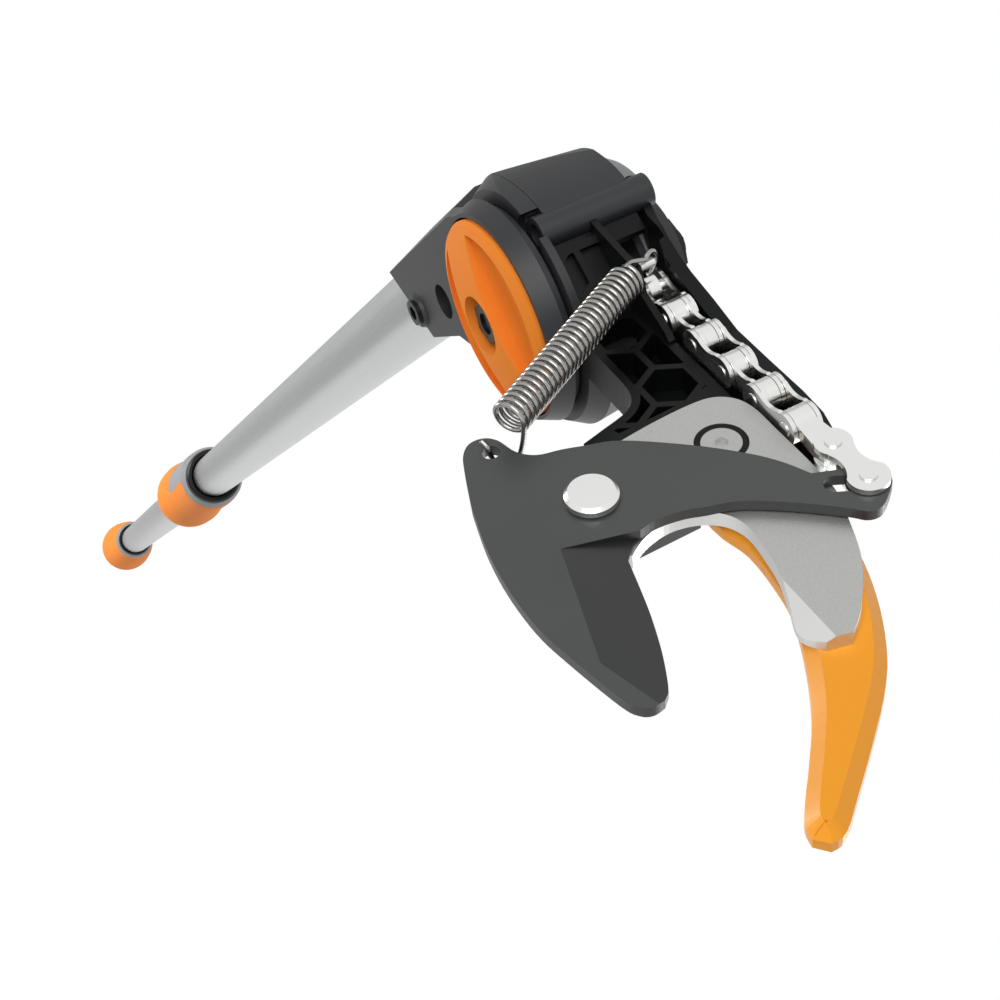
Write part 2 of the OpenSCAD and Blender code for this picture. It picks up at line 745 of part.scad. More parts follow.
// Long hole in which the end link's pin slides along the lever
module slot_outline() {
  polygon(concat(arc(on_lever(lever_r - 7.3, slot_side), slot_r, lever_turn + 90, lever_turn + 270, 12),
    arc(on_lever(lever_r + 0.2, slot_side), slot_r, lever_turn - 90, lever_turn + 90, 12)));
}

module cutting_blade() {
  color(dark_steel) in_head() difference() {
    plate(-blade_front, blade_back) blade_outline();
    rod_y(pivot, -blade_front - 1, blade_back + 1, pivot_d / 2 + 1.5 + seat);
    rod_y(lug, -blade_front - 1, blade_back + 1, 2.1);
    plate(-blade_front - 1, blade_back + 1) slot_outline();
    intersection() {
      bevel_cut([58.1, 97.3], 16, -blade_front, 0.15, 26, 0, 70);
      bevel_cut([67.2, 128.9], -16, -blade_front, 0.3, 60, -70, 40);
    }
  }
}

module blade_bush() {
  color(bright_steel) in_head() difference() {
    rod_y(pivot, -blade_front, blade_back, pivot_d / 2 + 1.5);
    rod_y(pivot, -blade_front - 1, blade_back + 1, pivot_d / 2 + run);
  }
}

link_t = 1.4;
link_in = blade_t / 2 + pass;
link_y = [link_mid - link_in - link_t, link_mid - link_in, link_mid + link_in, link_mid + link_in + link_t];
end_pin_r = 2;
end_shank_r = 1.6;

// The two pins of the face-on end link
module end_link_pins() {
  color(bright_steel) in_head() for (p = [tip, [chain_x, pin_at(1)]]) {
    rod_y(p, link_y[0] - 0.5, link_y[1], end_pin_r);
    rod_y(p, link_y[1], link_y[2], end_shank_r);
    rod_y(p, link_y[2], link_y[3] + 0.3, end_pin_r);
  }
}

module counter_outline() {
  polygon(concat(
    curve([[29, 73.2], [20, 72.2], [10, 71.8], [3.6, 72.6], [-0.6, 75.8], [-2.5, 81], [-2.6, 90], [-2.6,
      104], [-2, 113], [0.9, 121.6],
      [5.8, 132.9], [13.6, 143.1], [19, 147.8]]),
    curve([[24.6, 146.4], [27.4, 141], [24.6, 133.4], [22, 126.4], [20.6, 119.4], [19.9, 111.5], [21.8,
    106],
      [26.5, 102.2], [33, 100.6], [40, 102], [45, 105]]),
    curve([[52, 101], [57.6, 94.6], [57.6, 84], [50, 76.4], [40, 75]])));
}

module counter_blade() {
  color(bright_steel) in_head() difference() {
    plate(counter_front, counter_back) counter_outline();
    rod_y(pivot, counter_front - 1, counter_back + 1, pivot_d / 2 + seat);
    rod_y(counter_hole, counter_front - 1, counter_back + 1, counter_bolt_d / 2 + seat);
    rod_y(counter_hole, counter_front - 1, counter_front + 2.2, washer_r);
    translate([22.6, counter_front, 122]) linear_extrude(40) polygon([[0, 0], [5.6, 3], [8, 3], [8, -1],
      [0, -1]]);
  }
}

module counter_washer() {
  color(black) in_head() difference() {
    rod_y(counter_hole, counter_front + 0.2, counter_front + 2.2, washer_r - seat);
    rod_y(counter_hole, counter_front - 1, counter_front + 3, counter_bolt_d / 2 + seat);
    rod_y(counter_hole, counter_front - 1, counter_front + 1.2, bolt_head_r);
  }
}

module counter_bolt() {
  color(bright_steel) in_head() difference() {
    union() {
      rod_y(counter_hole, counter_front + 1.2, web_back + 6, counter_bolt_d / 2);
      rod_y(counter_hole, counter_front, counter_front + 1.2, bolt_head_r - seat);
    }
    hex_y(counter_hole, counter_front - 1, counter_front + 0.9, 3);
  }
}

module counter_nut() {
  color(black) in_head() difference() {
    hex_y(counter_hole, web_back, web_back + 5, 10);
    rod_y(counter_hole, web_back - 1, web_back + 7, counter_bolt_d / 2 + seat);
  }
}

// The hook's two sides, both from its root to its tip, and its whole outline
hook_inner = [[20, 76.4], [21.6, 100], [19.7, 111.5], [20.7, 124], [22.9, 133], [28.7, 145.5], [35.3, 156.5],
  [43, 166.2], [47.8, 171.8], [51.2, 176.4], [52, 180]];
hook_outer = [[-2, 78], [-2, 99], [-0.6, 118], [1.6, 128.4], [6.6, 140.6], [13.5, 152.2], [20.5, 160.2],
  [29.9, 168.8], [39.3, 176.9], [45.8, 182.2], [49.6, 182.8]];

function hook_outline() = let (a = curve(hook_inner, 4), b = curve(hook_outer, 4))
  concat(a, [for (i = [len(b) - 1:-1:0]) b[i]]);

// Outline moved inwards by d, each side kept parallel
function inset(p, d) = let (n = len(p)) [for (i = [0:n - 1]) let (a = unit(p[i] - p[(i + n - 1) % n]),
  b = unit(p[(i + 1) % n] - p[i])) p[i] + d * [-a[1] - b[1], a[0] + b[0]] / (1 + a * b)];

// Solid between outlines of the same even number of points, each at its own head depth
module layered(outlines, depths) {
  n = len(outlines[0]);
  m = len(outlines);
  polyhedron(points = [for (k = [0:m - 1]) each [for (q = outlines[k]) [q[0], depths[k], q[1]]]],
    faces = concat([for (i = [0:n / 2 - 2]) [n - 1 - i, n - 2 - i, i + 1, i]],
      [for (i = [0:n / 2 - 2]) let (o = (m - 1) * n) [o + i, o + i + 1, o + n - 2 - i, o + n - 1 - i]],
      [for (k = [0:m - 2], i = [0:n - 1]) let (j = (i + 1) % n, a = k * n, b = a + n) [a + i, a + j,
      b + j, b + i]]));
}

module hook() {
  outline = hook_outline();
  color(orange_plastic) in_head() difference() {
    layered([inset(outline, 2.8), outline, outline, inset(outline, 1.6)],
      [counter_back, counter_back + 3.2, hook_back - 2, hook_back]);
    rod_y(counter_hole, counter_back - 1, hook_back + 1, counter_bolt_d / 2 + seat);
  }
}

module rear_plate() {
  color(dark_steel) in_head() difference() {
    plate(counter_back, counter_back + 4) polygon(concat([[24.4, 99.8], [25, 80]],
      curve([[30, 76.8], [40, 75.6], [50, 77], [57, 84], [57.4, 91], [53.6, 98], [48, 100.2]], 4)));
    rod_y(pivot, counter_back - 1, counter_back + 6, pivot_d / 2 + seat);
  }
}

module pivot_bolt() {
  shank = blade_front + 0.1 + counter_back + 9;
  head_r = pivot_head_d / 2;
  color(bright_steel) in_head() translate([pivot[0], -blade_front - 0.1, pivot[1]]) rotate([90, 0, 0])
    rotate_extrude()
    polygon([[0, -shank], [pivot_d / 2, -shank], [pivot_d / 2, 0], [head_r - 0.5, 0], [head_r, 0.5],
      [head_r, 1.9],
      [head_r - 0.8, 2.7], [0, 2.9]]);
}

module pivot_nut() {
  color(black) in_head() difference() {
    hex_y(pivot, counter_back + 4, counter_back + 8.6, 13);
    rod_y(pivot, counter_back + 3, counter_back + 10, pivot_d / 2 + seat);
  }
}

// Drum, chain wheel and chain

drum_half = strap_w / 2 + 0.4;
flange_t = 1.2;

drum_end = strap_x + drum_half + flange_t;

module strap_drum() {
  color(grey_plastic) in_head() difference() {
    union() {
      rod_x(strap_x - drum_half, strap_x + drum_half, drum_r);
      for (x = [strap_x - drum_half - flange_t, strap_x + drum_half]) rod_x(x, x + flange_t, drum_r + 1.4);
    }
    rod_x(-20, 20, sleeve_r + 3);
  }
}

module drum_bush() {
  color(bright_steel) in_head() difference() {
    rod_x(chain_x - 1.4, drum_end, sleeve_r + 3 - seat);
    rod_x(-20, 20, sleeve_r + run);
  }
}

module strap_winding() {
  color(black) in_head() difference() {
    intersection() {
      rod_x(strap_x - strap_w / 2, strap_x + strap_w / 2, drum_r + strap_t);
      sector_x(strap_x - strap_w / 2, strap_x + strap_w / 2, 2 * drum_r, 90 + head_lean - drum_turn + 20,
        90 + head_lean - 4);
    }
    rod_x(-20, 20, drum_r + seat);
  }
}

// Six-toothed wheel, its pockets turned so that they meet the rollers when the chain is drawn in
module chain_wheel() {
  pocket_turn = -5.4;
  pocket_at = 14.6;
  color(bright_steel) in_head() difference() {
    rod_x(chain_x - 1.3, chain_x + 1.3, 11.6);
    rod_x(chain_x - 3, chain_x + 3, sleeve_r + 3);
    for (k = [0:5]) rotate([pocket_turn + 60 * k, 0, 0]) translate([0, pocket_at, 0])
      rod_x(chain_x - 3, chain_x + 3, roller_r + 0.9);
  }
}

// Places of the chain's pins along its own line, from the twisted link back to the drum
function pin_at(i) = tip[1] - i * chain_pitch;

module chain_line() { translate([chain_x, -chain_wheel_r, 0]) rotate([chain_slope, 0, 0]) children(); }

module on_chain() { in_head() chain_line() children(); }

// One side plate of a link between two pins, waisted, at offset x
module link_plate(x, z0, z1) {
  waist_r = 7;
  translate([x - plate_t / 2, 0, 0]) rotate([90, 0, 90]) linear_extrude(plate_t) difference() {
    union() {
      for (z = [z0, z1]) translate([0, z]) circle(r = link_r, $fn = 32);
      translate([-link_r + 0.4, min(z0, z1)]) square([2 * link_r - 0.8, abs(z1 - z0)]);
    }
    for (s = [-1, 1]) translate([s * (waist_r + 2.5), (z0 + z1) / 2]) circle(r = waist_r, $fn = 48);
    for (z = [z0, z1]) translate([0, z]) circle(r = chain_pin_r + 0.02, $fn = 32);
  }
}

inner_x = inner_gap / 2 + plate_t / 2;
outer_x = inner_gap / 2 + 1.5 * plate_t + 0.12;

module chain_outer_links() {
  color(bright_steel) on_chain() for (s = [-1, 1]) {
    for (i = [2, 4, 6]) link_plate(s * outer_x, pin_at(i), pin_at(i + 1));
  }
}

module chain_inner_links() {
  color(bright_steel) on_chain() for (i = [3, 5], s = [-1, 1]) link_plate(s * inner_x, pin_at(i),
    pin_at(i + 1));
}

module chain_rollers() {
  color(bright_steel) on_chain() for (i = [3:7]) translate([0, 0, pin_at(i)]) difference() {
    rod_x(-inner_gap / 2 + 0.1, inner_gap / 2 - 0.1, roller_r);
    rod_x(-3, 3, chain_pin_r + 0.03);
  }
}

module chain_pins() {
  color(bright_steel) on_chain() for (i = [2:7]) translate([0, 0, pin_at(i)])
    rod_x(-outer_x - plate_t / 2 - 0.2, outer_x + plate_t / 2 + 0.2, chain_pin_r - 0.01);
}

// Link that turns the chain through a right angle to meet the face-on end link
module twist_link() {
  tongue = link_in - 0.05;
  color(bright_steel) in_head() difference() {
    union() {
      chain_line() translate([0, 0, pin_at(2)]) rod_x(-inner_gap / 2 - plate_t, inner_gap / 2 + plate_t,
        link_r);
      plate(link_mid - tongue, link_mid + tongue) polygon(concat([[chain_x - 2.4, pin_at(2)],
        [chain_x + 2.4, pin_at(2)]],
        arc([chain_x, pin_at(1)], 3.6, 0, 180, 8)));
    }
    chain_line() translate([0, 0, pin_at(2)]) rod_x(-5, 5, chain_pin_r + 0.02);
    rod_y([chain_x, pin_at(1)], link_y[0], link_y[3], end_shank_r + 0.02);
  }
}

// One plate of the end link, waisted, with the radius of its low and its high end
module end_plate(low_r, high_r) {
  low = tip;
  high = [chain_x, pin_at(1)];
  difference() {
    union() {
      translate(low) circle(r = low_r, $fn = 48);
      translate(high) circle(r = high_r, $fn = 48);
      translate(high - [3.4, 0]) square([6.8, chain_pitch]);
    }
    for (s = [-1, 1]) translate((low + high) / 2 + [s * 9.6, 0]) circle(r = 7, $fn = 48);
    for (q = [low, high]) translate(q) circle(r = end_pin_r + 0.02, $fn = 48);
  }
}

module end_link() {
  color(bright_steel) in_head() union() {
    plate(link_y[0], link_y[1]) end_plate(4.9, 4.4);
    plate(link_y[2], link_y[3]) end_plate(4.1, 4.1);
  }
}

// Return spring, one unbroken wire from the blade's lug to the post

spring_lo = [50.4, -25.6, 61.7];
spring_hi = [2.2, -25, 33.6];
spring_r = (spring_d - spring_wire) / 2;
spring_axis = spring_hi - spring_lo;
spring_len = norm(spring_axis);
spring_u = spring_axis / spring_len;
spring_v = [spring_u[2], 0, -spring_u[0]] / norm([spring_u[2], spring_u[0]]);
spring_w = cross(spring_v, spring_u);
rings_per_curl = 8;
wire_sides = 6;

function coil_at(t) = spring_lo + spring_u * (spring_len * t / spring_curls)
  + spring_r * (cos(360 * t) * spring_v + sin(360 * t) * spring_w);

coil_points = [for (i = [0:spring_curls * rings_per_curl + 2]) coil_at(i / rings_per_curl)];
// Lower hook, up through the lug's hole from behind the blade and round its upper edge
hook_points = [[lug[0] + 1, -21.8, lug[1] - 2.2], [lug[0] + 0.4, -20.8, lug[1] - 0.6], [lug[0], -18,
  lug[1]],
  [lug[0] - 0.8, -15.4, lug[1] + 0.6], [lug[0] - 3.2, -14.6, lug[1] + 1.6], [lug[0] - 6, -16, lug[1] + 1.6],
  [lug[0] - 7.4, -20, lug[1] + 1.8]];
loop_r = 3.1;
loop_at = [-6.6, post[0], post[1]];
loop_points = concat([[-0.6, -28, 31.6]], [for (i = [0:8]) let (a = -40 + 32 * i)
  loop_at + loop_r * [-0.87 * sin(a), -cos(a), -0.48 * sin(a)]]);
wire_path = concat(hook_points, coil_points, loop_points);

function unit(v) = v / norm(v);
function wire_dir(i) = unit(wire_path[min(i + 1, len(wire_path) - 1)] - wire_path[max(i - 1, 0)]);
function wire_side(i) = unit(cross(wire_dir(i), abs(wire_dir(i)[1]) < 0.9 ? [0, 1, 0.2] : [1, 0, 0]));
function wire_ring(i) = let (d = wire_dir(i), a = wire_side(i), b = cross(d, a))
  [for (k = [0:wire_sides - 1]) wire_path[i] + spring_wire / 2 * (cos(360 * k / wire_sides) * a
    + sin(360 * k / wire_sides) * b)];

module return_spring() {
  n = len(wire_path);
  m = wire_sides;
  color(bright_steel) in_head() polyhedron(points = [for (i = [0:n - 1]) each wire_ring(i)], faces = concat(
    [for (i = [0:n - 2], k = [0:m - 1]) each let (a = i * m + k, b = i * m + (k + 1) % m)
      [[a, a + m, b], [b, a + m, b + m]]],
    [for (k = [1:m - 2]) [0, k, k + 1]],
    [for (k = [1:m - 2]) let (o = (n - 1) * m) [o, o + k + 1, o + k]]));
}

pole_tube();
pole_bracket();
bracket_screw();
bracket_nut();
tilt_sleeve();
tilt_bolt();
tilt_nut();
end_knob();
end_knob_collar();
end_knob_ring();
handle_grip();
handle_inlay();
handle_collar();
handle_ring();
handle_carriage();
handle_pin();
pull_strap();
clamp_knob();
clamp_washer();
drum_housing();
near_shell();
housing_cap();
head_frame();
channel_wall();
spring_post();
counter_blade();
hook();
rear_plate();
counter_bolt();
counter_washer();
counter_nut();
pivot_bolt();
pivot_nut();
strap_drum();
strap_winding();
chain_wheel();
drum_bush();
cutting_blade();
blade_bush();
end_link();
end_link_pins();
chain_outer_links();
chain_inner_links();
chain_rollers();
chain_pins();
twist_link();
return_spring();
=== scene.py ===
# %% [markdown]
# # A tree pruner pole
# A pruning pole is a long aluminium tube with a pull handle that slides on it. The handle draws a strap, the
# strap turns a drum, and the drum draws in a chain that swings the cutting blade past a hooked counter blade.
# The solids come from the CAD frame. This lesson gives each of them its finish, and remakes the spring and the
# strap, which change their length when the tool works.

# %% Load the frame
import math

import bpy
from mathutils import Matrix, Vector


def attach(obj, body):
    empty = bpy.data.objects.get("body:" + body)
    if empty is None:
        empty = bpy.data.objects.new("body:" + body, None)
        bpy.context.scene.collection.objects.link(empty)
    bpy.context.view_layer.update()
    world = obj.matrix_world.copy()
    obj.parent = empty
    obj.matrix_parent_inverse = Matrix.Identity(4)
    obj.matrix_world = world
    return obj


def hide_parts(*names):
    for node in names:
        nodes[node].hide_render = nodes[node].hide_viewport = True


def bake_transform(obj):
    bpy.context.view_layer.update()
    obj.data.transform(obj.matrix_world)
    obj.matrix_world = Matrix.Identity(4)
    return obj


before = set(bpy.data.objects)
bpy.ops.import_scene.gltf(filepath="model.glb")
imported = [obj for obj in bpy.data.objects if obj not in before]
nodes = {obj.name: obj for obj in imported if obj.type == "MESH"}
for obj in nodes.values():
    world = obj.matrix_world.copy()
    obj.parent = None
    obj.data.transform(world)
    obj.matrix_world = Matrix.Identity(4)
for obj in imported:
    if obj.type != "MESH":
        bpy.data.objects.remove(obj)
scene = bpy.context.scene
scene.view_settings.view_transform = "Standard"
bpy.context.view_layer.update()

# %% [markdown]
# ## Where the head is
# The cutting head leans 45 degrees from the pole. Its own axes are x across the jaws, y from front to back and
# z along the head. One function takes a place in head millimetres to the frame's metres, so pieces on the head
# can be written as flat shapes.

# %% Head axes
MM = 1000.0  # millimetres in a metre, and so the noise cells in a metre for a pattern of one millimetre
TILT = Vector((0, 21.5, 1552))
LEAN = math.radians(45)
HEAD_TURN = Matrix.Rotation(-LEAN, 3, "X")
PIVOT = (45, -19.4, 88.5)


def on_head(x, y, z):
    return (TILT + HEAD_TURN @ Vector((x, y, z))) / MM


print("pivot at", [round(v, 4) for v in on_head(*PIVOT)])

# %% [markdown]
# ## Camera
# The view looks down past the head and along the pole, so the far grips look small. A lens of about 65 mm on a
# 36 mm sensor gives that much perspective. The camera's three directions are written out, and each is a column
# of its turn.

# %% Camera
LENS = 64.8
SENSOR = 36
CAMERA_PLACE = (0.1725, 0.0479, 1.9998)
RIGHT = Vector((-0.8726, 0.4070, 0.2700))
UP = Vector((-0.4003, -0.9127, 0.0822))
camera = bpy.data.objects.new("camera", bpy.data.cameras.new("camera"))
scene.collection.objects.link(camera)
scene.camera = camera
camera.data.lens = LENS
camera.data.sensor_width = SENSOR
camera.data.clip_start = 0.02
camera.data.clip_end = 50
back = RIGHT.cross(UP).normalized()
turn = Matrix((RIGHT, back.cross(RIGHT), back)).transposed()
camera.matrix_world = Matrix.Translation(CAMERA_PLACE) @ turn.to_4x4()
print("camera looks along", [round(-v, 3) for v in back])

# %% [markdown]
# ## Small helpers for materials
# Colours are picked as sRGB hex values, as a screen shows them, while shaders work in linear light, so one
# function turns one into the other. A second one adds a node, sets its options and joins its sockets. The rest
# are what nearly every finish needs: noise, two tints mixed, an uneven gloss, a shallow relief, and one that
# puts a finished material on the pieces it belongs to.


# %% Colour and node helpers
def linear(code):
    parts = [int(code[i : i + 2], 16) / 255 for i in (1, 3, 5)]
    return (*[c / 12.92 if c <= 0.04045 else ((c + 0.055) / 1.055) ** 2.4 for c in parts], 1)


def add(tree, kind, sockets=None, **settings):
    made = tree.nodes.new(kind)
    for name, value in settings.items():
        setattr(made, name, value)
    for name, value in (sockets or {}).items():
        if isinstance(value, bpy.types.NodeSocket):
            tree.links.new(value, made.inputs[name])
        else:
            made.inputs[name].default_value = value
    return made


def start(name, colour, rough, metal=0.0):
    """A new material with its shader's plain values set, and the place of each point in metres."""
    material = bpy.data.materials.new(name)
    material.use_nodes = True
    tree = material.node_tree
    shader = tree.nodes["Principled BSDF"]
    shader.inputs["Base Color"].default_value = linear(colour)
    shader.inputs["Roughness"].default_value = rough
    shader.inputs["Metallic"].default_value = metal
    place = add(tree, "ShaderNodeTexCoord").outputs["Object"]
    return material, tree, shader, place


# %% Helpers for finishes
def noise(tree, place, cells, detail):
    """Soft noise from nought to one, with so many cells in a metre."""
    return add(tree, "ShaderNodeTexNoise", {"Vector": place, "Scale": cells, "Detail": detail}).outputs["Fac"]


def mixed(tree, share, first, second):
    """The first colour where the share is nought, the second where it is one."""
    sockets = {"Factor": share, "A": first, "B": second}
    return add(tree, "ShaderNodeMix", sockets, data_type="RGBA").outputs["Result"]


def uneven_gloss(tree, shader, share, least, most):
    """The roughness goes from the least to the most as the share goes from nought to one."""
    dull = add(tree, "ShaderNodeMapRange", {"Value": share, "To Min": least, "To Max": most})
    tree.links.new(dull.outputs[0], shader.inputs["Roughness"])


def relief(tree, shader, height, strength, depth=0.0002):
    """A shallow bump, with its depth in metres."""
    bump = add(tree, "ShaderNodeBump", {"Height": height, "Strength": strength, "Distance": depth})
    tree.links.new(bump.outputs[0], shader.inputs["Normal"])


def off_front(tree, most, least):
    """Nought on the head's front faces, one where a face leans away from them past the given cosines."""
    normal = add(tree, "ShaderNodeTexCoord").outputs["Normal"]
    front = HEAD_TURN @ Vector((0, -1, 0))
    facing = add(tree, "ShaderNodeVectorMath", {0: normal, 1: front}, operation="DOT_PRODUCT")
    sockets = {"Value": facing.outputs["Value"], "From Min": most, "From Max": least}
    return add(tree, "ShaderNodeMapRange", sockets).outputs[0]


def dress(material, *names):
    for name in names:
        nodes[name].data.materials[0] = material


print("helpers ready")

# %% [markdown]
# ## Satin anodised aluminium
# The pole is drawn tube, brushed along its length and anodised. The eye sees soft long streaks and a broad
# highlight, so the noise is stretched along the pole and moves the roughness more than the colour. Real streaks
# are a tenth of a millimetre wide. They are drawn at about one millimetre so that they show.

# %% Anodised aluminium
anodised, tree, shader, place = start("anodised_aluminium", "#b8b9ba", 0.36, 1.0)
stretched = add(tree, "ShaderNodeMapping", {"Vector": place, "Scale": (1.2 * MM, 1.2 * MM, 0.02 * MM)})
streaks = noise(tree, stretched.outputs[0], 1.0, 3.0)
tint = mixed(tree, streaks, linear("#aeafb0"), linear("#c0c1c2"))
tree.links.new(tint, shader.inputs["Base Color"])
uneven_gloss(tree, shader, streaks, 0.24, 0.34)
relief(tree, shader, streaks, 0.06)
dress(anodised, "pole_tube")
print("pole finished")

# %% [markdown]
# ## Glass-filled nylon, charcoal
# The fork, the drum housing and its shell are moulded from nylon with short glass fibre. The mould is
# spark-eroded, so the skin has a fine even grain that breaks the highlight. Real grain is about 0.2 mm. It is
# drawn at 0.5 mm.

# %% Charcoal nylon
charcoal, tree, shader, place = start("charcoal_nylon", "#28292b", 0.42)
shader.inputs["Specular IOR Level"].default_value = 0.4
grain = noise(tree, place, 2.0 * MM, 2.0)
cloud = noise(tree, place, 0.05 * MM, 3.0)
tint = mixed(tree, cloud, linear("#232426"), linear("#2d2e30"))
tree.links.new(tint, shader.inputs["Base Color"])
uneven_gloss(tree, shader, grain, 0.36, 0.5)
relief(tree, shader, grain, 0.12)
dress(charcoal, "pole_bracket", "drum_housing", "near_shell")
print("charcoal nylon on the fork and the drum housing")

# %% [markdown]
# ## Glass-filled nylon, black
# The ribbed frame that carries the cutting parts is the same plastic in black, with a slightly smoother skin,
# because deep ribs are left as cut. Only the tint and the gloss differ, so its own material is short.

# %% Black nylon
black_nylon, tree, shader, place = start("black_nylon", "#0b0c0d", 0.38)
shader.inputs["Specular IOR Level"].default_value = 0.16
grain = noise(tree, place, 1.6 * MM, 2.0)
uneven_gloss(tree, shader, grain, 0.28, 0.44)
relief(tree, shader, grain, 0.1)
dress(black_nylon, "head_frame", "channel_wall", "handle_ring", "end_knob_ring", "counter_washer")
print("black nylon on the frame and the grip rings")

# %% [markdown]
# ## Orange polypropylene
# The grips and the clamp knob are moulded in orange polypropylene. Its pigment is strong and its skin is a dull
# one, so the colour is hardly paled by reflected light even at a glance, and a cloudy tint gives the uneven
# pigment.

# %% Orange polypropylene
orange, tree, shader, place = start("orange_polypropylene", "#f48d32", 0.55)
shader.inputs["Specular IOR Level"].default_value = 0.04
cloud = noise(tree, place, 0.06 * MM, 3.0)
tint = mixed(tree, cloud, linear("#ec8229"), linear("#f39038"))
tree.links.new(tint, shader.inputs["Base Color"])
grain = noise(tree, place, 2.4 * MM, 2.0)
uneven_gloss(tree, shader, grain, 0.48, 0.62)
relief(tree, shader, grain, 0.06)
dress(orange, "end_knob", "handle_grip", "clamp_knob")
print("orange on the grips and the clamp knob")

# %% [markdown]
# ## Orange powder coat
# The hook is cast and powder coated in a yellower orange. A baked coat flows out smooth with a faint orange
# peel, waves a few millimetres across, so its bump is broad and shallow and its gloss is higher than the
# plastic's.

# %% Orange powder coat
coat, tree, shader, place = start("orange_powder_coat", "#fca526", 0.3)
shader.inputs["Specular IOR Level"].default_value = 0.3
peel = noise(tree, place, 0.5 * MM, 1.0)
uneven_gloss(tree, shader, peel, 0.26, 0.4)
relief(tree, shader, peel, 0.05, 0.0003)
dress(coat, "hook")
print("powder coat on the hook")

# %% [markdown]
# ## Grey elastomer
# The inlay and the collars of the grips are soft grey elastomer moulded over the plastic. It is matt and it
# scatters light at a glance, so a little sheen lifts its edges. The drum housing's cap has the same grey, and
# so have the drum and the handle's carriage inside.

# %% Grey elastomer
elastomer, tree, shader, place = start("grey_elastomer", "#808284", 0.62)
shader.inputs["Sheen Weight"].default_value = 0.15
shader.inputs["Sheen Roughness"].default_value = 0.5
grain = noise(tree, place, 1.5 * MM, 3.0)
tint = mixed(tree, grain, linear("#76787a"), linear("#8a8c8e"))
tree.links.new(tint, shader.inputs["Base Color"])
relief(tree, shader, grain, 0.1)
dress(elastomer, "handle_inlay", "handle_collar", "end_knob_collar", "housing_cap", "handle_carriage",
      "strap_drum")
print("grey elastomer on the grips")

# %% [markdown]
# ## Low-friction coat on blade steel
# The cutting blade has a dark baked coat that lets sap slide off. It is thin, so the fine ripple of the blasted
# steel under it shows as a satin with small flecks. Faces that lean away from the head's front, the ground bevel
# among them, get a near-black colour: painted shade where they lie turned from the light.

# %% Coated blade steel
coated, tree, shader, place = start("coated_blade_steel", "#48494b", 0.4)
shader.inputs["Coat Weight"].default_value = 0.15
shader.inputs["Coat Roughness"].default_value = 0.3
fleck = noise(tree, place, 2.2 * MM, 4.0)
cloud = noise(tree, place, 0.04 * MM, 2.0)
tint = mixed(tree, cloud, linear("#363738"), linear("#424344"))
# painted shade: faces that lean away from the front are mixed towards near-black
painted_shade_bevel = mixed(tree, off_front(tree, 0.998, 0.991), tint, linear("#18191a"))
tree.links.new(painted_shade_bevel, shader.inputs["Base Color"])
uneven_gloss(tree, shader, fleck, 0.34, 0.52)
relief(tree, shader, fleck, 0.08)
dress(coated, "cutting_blade", "rear_plate")
print("coat on the blade")

# %% [markdown]
# ## Blasted stainless steel
# The counter blade and its bolt are left bright, and so are the bushes and pins inside. Bead blasting leaves
# tiny dimples that sparkle, drawn here at half a millimetre, and the metal reflects the white room as a soft
# light grey. The cut edges and the facets are painted lighter than the flat faces: a painted highlight.

# %% Blasted steel
blasted, tree, shader, place = start("blasted_stainless", "#b4b4b2", 0.42, 1.0)
dimple = noise(tree, place, 2.5 * MM, 3.0)
tint = mixed(tree, dimple, linear("#a2a2a0"), linear("#c2c2c0"))
# painted highlight: faces that lean away from the front are mixed towards a lighter grey
painted_edge_highlight = mixed(tree, off_front(tree, 0.96, 0.9), tint, linear("#cfcfcd"))
tree.links.new(painted_edge_highlight, shader.inputs["Base Color"])
uneven_gloss(tree, shader, dimple, 0.34, 0.52)
relief(tree, shader, dimple, 0.15)
dress(blasted, "counter_blade", "counter_bolt", "blade_bush", "tilt_sleeve", "handle_pin", "clamp_washer",
      "drum_bush", "chain_wheel", "spring_post")
print("blasted steel on the counter blade and the bolts")

# %% [markdown]
# ## Nickel plate
# Chain plates are stamped, tumbled and nickel plated, which leaves them bright with rounded edges, and the pivot
# bolt is plated too. The reflections are clear but a little uneven, so a broad noise moves the roughness by a
# few hundredths.

# %% Nickel plate
nickel, tree, shader, place = start("nickel_plate", "#e2e2e0", 0.2, 1.0)
patch = noise(tree, place, 0.4 * MM, 3.0)
uneven_gloss(tree, shader, patch, 0.16, 0.3)
relief(tree, shader, patch, 0.05)
dress(nickel, "end_link", "end_link_pins", "chain_outer_links", "chain_inner_links", "chain_rollers",
      "chain_pins", "twist_link", "pivot_bolt")
print("nickel on the chain and the pivot bolt")

# %% [markdown]
# ## Black oxide
# Screws are dipped hot and come out black with an oily gloss. Machining rings stay under it, too fine to show,
# so the gloss alone is uneven.

# %% Black oxide
oxide, tree, shader, place = start("black_oxide", "#202123", 0.34, 0.6)
patch = noise(tree, place, 0.8 * MM, 3.0)
uneven_gloss(tree, shader, patch, 0.26, 0.44)
dress(oxide, "bracket_screw", "bracket_nut", "tilt_bolt", "tilt_nut", "counter_nut", "pivot_nut")
print("black oxide on the screws")

# %% [markdown]
# ## Return spring
# The spring is one wire of about 1.3 mm: a hook through the blade's lug, twenty-nine curls and a loop round a
# pin. The curls come from the helix formula, and the hook and the loop from a few points with a smooth curve
# through them. A curve object with a round bevel would do too, but here the wire is swept as a mesh.

# %% Spring steel
wire_steel, tree, shader, place = start("spring_steel", "#9c9a97", 0.22, 1.0)
drawn = noise(tree, place, 0.6 * MM, 2.0)
uneven_gloss(tree, shader, drawn, 0.16, 0.3)
print("drawn steel for the spring")

